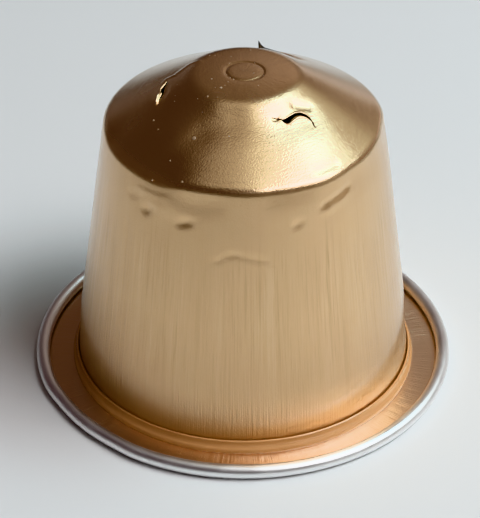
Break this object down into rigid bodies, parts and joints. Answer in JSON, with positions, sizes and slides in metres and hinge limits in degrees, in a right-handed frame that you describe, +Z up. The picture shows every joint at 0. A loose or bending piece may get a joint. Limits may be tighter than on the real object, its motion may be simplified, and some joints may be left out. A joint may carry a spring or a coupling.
{
  "type": "coffee capsule",
  "caption": "Used single-serve coffee capsule: a tapered drawn aluminium cup with a rolled rim, a sloping crown pierced by blade cuts, a foil lid, a sealing ring and spent coffee inside.",
  "frame": {"origin": "on the cup's axis, at the foil lid's underside, which is the plane that the capsule stands on", "axes": "+Z up along the cup's axis from the lid to the crown; -Y is the side that the picture looks at"},
  "size_m": [0.037, 0.037, 0.0286],
  "materials": {
    "lacquered_aluminium": "gold lacquer, satin, drawn streaks",
    "lid_foil": "plain bright foil",
    "seal": "glossy copper-tinted elastomer",
    "spent_coffee": "damp, coarse grains"
  },
  "bodies": {
    "root": {"capsule_cup": "lacquered_aluminium", "foil_lid": "lid_foil", "sealing_ring": "seal", "coffee_puck": "spent_coffee"}
  },
  "joints": []
}
